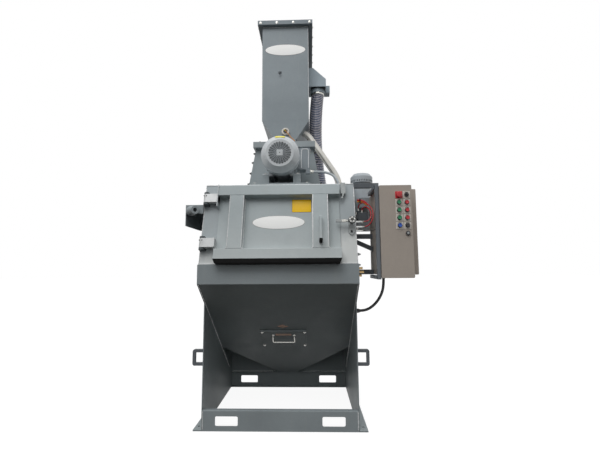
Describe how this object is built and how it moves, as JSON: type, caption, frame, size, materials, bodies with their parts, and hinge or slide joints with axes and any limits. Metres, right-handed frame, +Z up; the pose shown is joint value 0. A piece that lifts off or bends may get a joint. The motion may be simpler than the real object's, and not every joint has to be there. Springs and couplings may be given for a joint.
{
  "type": "shot blasting machine",
  "caption": "Tumble-type shot blasting machine with a hopper base, a hinged cabinet door, a roof-mounted blast wheel, a rear elevator with a tall bin and a side control panel.",
  "frame": {"origin": "on the floor, at the centre of the four anchor holes", "axes": "+X to the right of somebody who faces the door, +Y to the rear, +Z up"},
  "size_m": [1.888, 1.929, 4.037],
  "materials": {
    "grey_paint": "satin enamel",
    "motor_paint": "satin enamel",
    "taupe_paint": "fine powder coat",
    "dark_paint": "satin enamel",
    "steel": "dull zinc",
    "rubber": "matt",
    "hose": "ribbed",
    "conduit": "smooth",
    "pale_plastic": "smooth",
    "red_hose": "smooth",
    "button_plastic": "gloss"
  },
  "bodies": {
    "machine": {"left_side_plate": "grey_paint", "right_side_plate": "grey_paint", "front_crossmember": "grey_paint", "rear_crossmember": "grey_paint", "rear_panel": "grey_paint", "lifting_handles": "grey_paint", "hopper_slope": "grey_paint", "hopper_wings": "grey_paint", "hopper_band": "grey_paint", "clean_out_cover": "grey_paint", "clean_out_handle": "grey_paint", "cabinet_left_wall": "grey_paint", "cabinet_right_wall": "grey_paint", "cabinet_rear_wall": "grey_paint", "cabinet_roof": "grey_paint", "cabinet_front_frame": "grey_paint", "hinge_lugs": "grey_paint", "latch_post": "steel", "door_switch": "steel", "intake_hood": "grey_paint", "wheel_housing": "grey_paint", "wheel_housing_lid": "grey_paint", "motor_base": "grey_paint", "wheel_motor": "motor_paint", "motor_fan_cover": "motor_paint", "motor_terminal_box": "motor_paint", "bin_shell": "grey_paint", "bin_cover": "grey_paint", "feed_spout": "grey_paint", "elevator_boot": "grey_paint", "elevator_leg": "grey_paint", "vent_hood": "grey_paint", "hose_collar": "steel", "dust_hose": "hose", "overflow_pipe": "steel", "motor_conduit": "conduit", "control_console": "taupe_paint", "electrical_enclosure": "taupe_paint", "panel_arms": "dark_paint", "legend_plates": "pale_plastic", "push_buttons": "button_plastic", "wall_fittings": "steel", "sensor_cable": "rubber", "gearbox": "motor_paint", "air_valve": "dark_paint", "bin_port": "pale_plastic", "panel_conduit": "rubber", "air_hose_outer": "red_hose", "air_hose_inner": "red_hose", "gear_motor": "motor_paint", "gear_motor_fan_cover": "motor_paint"},
    "door": {"door_seal": "rubber", "door_skin": "grey_paint", "door_top_bar": "grey_paint", "door_bottom_bar": "grey_paint", "door_ribs": "grey_paint", "door_lip": "rubber", "door_handle": "grey_paint", "door_hinge_arms": "grey_paint"},
    "latch": {"latch_arm": "steel"}
  },
  "joints": [
    {"name": "door_hinge", "type": "hinge", "parent": "machine", "child": "door", "pos_m": [-0.606, -0.7037, 1.67712], "axis": [0, -0.2554, -0.9668], "range_deg": [0, 110]},
    {"name": "latch_pivot", "type": "hinge", "parent": "machine", "child": "latch", "pos_m": [0.592, -0.72223, 1.6696], "axis": [0, 0.9668, -0.2554], "range_deg": [0, 90]}
  ]
}
